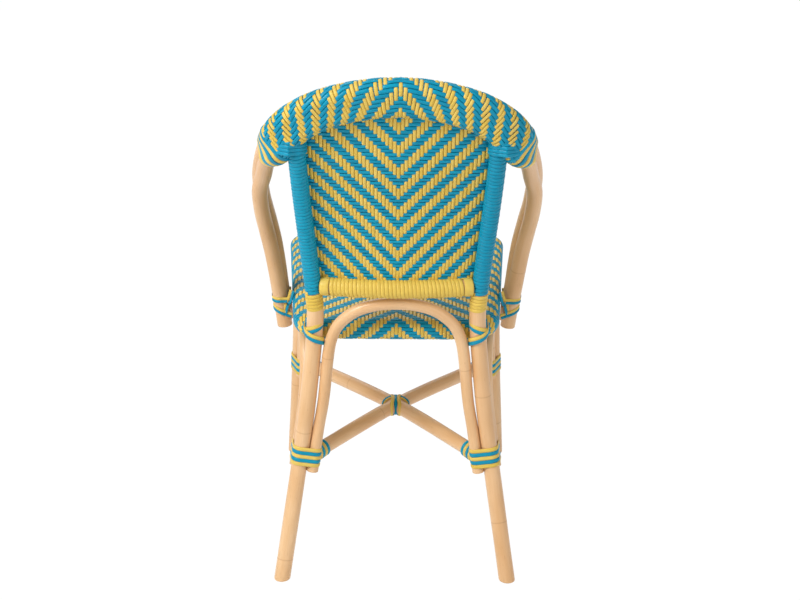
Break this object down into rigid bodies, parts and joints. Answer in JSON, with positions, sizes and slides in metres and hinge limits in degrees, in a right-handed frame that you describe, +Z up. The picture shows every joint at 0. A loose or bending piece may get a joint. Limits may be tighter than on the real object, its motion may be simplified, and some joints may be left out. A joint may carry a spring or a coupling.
{
  "type": "rattan bistro armchair",
  "caption": "Rattan bistro armchair with a bent-pole frame, a woven seat, back and curved crown, and strip bindings at the joints.",
  "frame": {"origin": "on the floor under the middle of the chair's bounding box", "axes": "+Z up, -Y is the way the sitter faces, +X is the right of someone facing the chair's front"},
  "size_m": [0.4812, 0.5706, 0.8971],
  "materials": {
    "rattan": "clear satin varnish on peeled pole",
    "blue_strip": "satin woven cane strip",
    "yellow_strip": "satin woven cane strip",
    "striped_strip": "blue and yellow strips side by side, satin",
    "woven_sheet": "blue and yellow chevron twill weave, satin",
    "screw_steel": "dark plated",
    "glide_plastic": "moulded foot glide"
  },
  "bodies": {
    "root": {"seat_slat_rear": "rattan", "seat_slat_front": "rattan", "arm_screw_rear_right": "screw_steel", "arm_screw_front_right": "screw_steel", "arm_screw_rear_left": "screw_steel", "arm_screw_front_left": "screw_steel", "seat_weave": "woven_sheet", "seat_hoop": "rattan", "arm_hoop_lower": "rattan", "arm_hoop_upper": "rattan", "crown_weave": "woven_sheet", "rear_post_right": "rattan", "front_leg_right": "rattan", "rear_glide_right": "glide_plastic", "front_glide_right": "glide_plastic", "rear_post_left": "rattan", "front_leg_left": "rattan", "rear_glide_left": "glide_plastic", "front_glide_left": "glide_plastic", "rear_arch": "rattan", "front_arch": "rattan", "side_arch_right": "rattan", "side_arch_left": "rattan", "back_rail": "rattan", "back_rail_wrap": "yellow_strip", "post_wrap_right": "blue_strip", "post_collar_right": "yellow_strip", "post_wrap_left": "blue_strip", "post_collar_left": "yellow_strip", "back_weave": "woven_sheet", "rear_leg_binding_right": "striped_strip", "front_leg_binding_right": "striped_strip", "rear_leg_binding_left": "striped_strip", "front_leg_binding_left": "striped_strip", "cross_stretcher_upper": "rattan", "cross_stretcher_lower": "rattan", "stretcher_binding_rear_right": "striped_strip", "stretcher_binding_front_left": "striped_strip", "stretcher_binding_rear_left": "striped_strip", "stretcher_binding_front_right": "striped_strip", "cross_lashing": "striped_strip", "seat_post_lashing_right": "striped_strip", "seat_post_lashing_left": "striped_strip", "arm_seat_lashing_right": "striped_strip", "arm_seat_lashing_left": "striped_strip", "arm_binding_right": "striped_strip", "arm_binding_left": "striped_strip", "shoulder_lashing_right": "blue_strip", "shoulder_lashing_left": "blue_strip"}
  },
  "joints": []
}
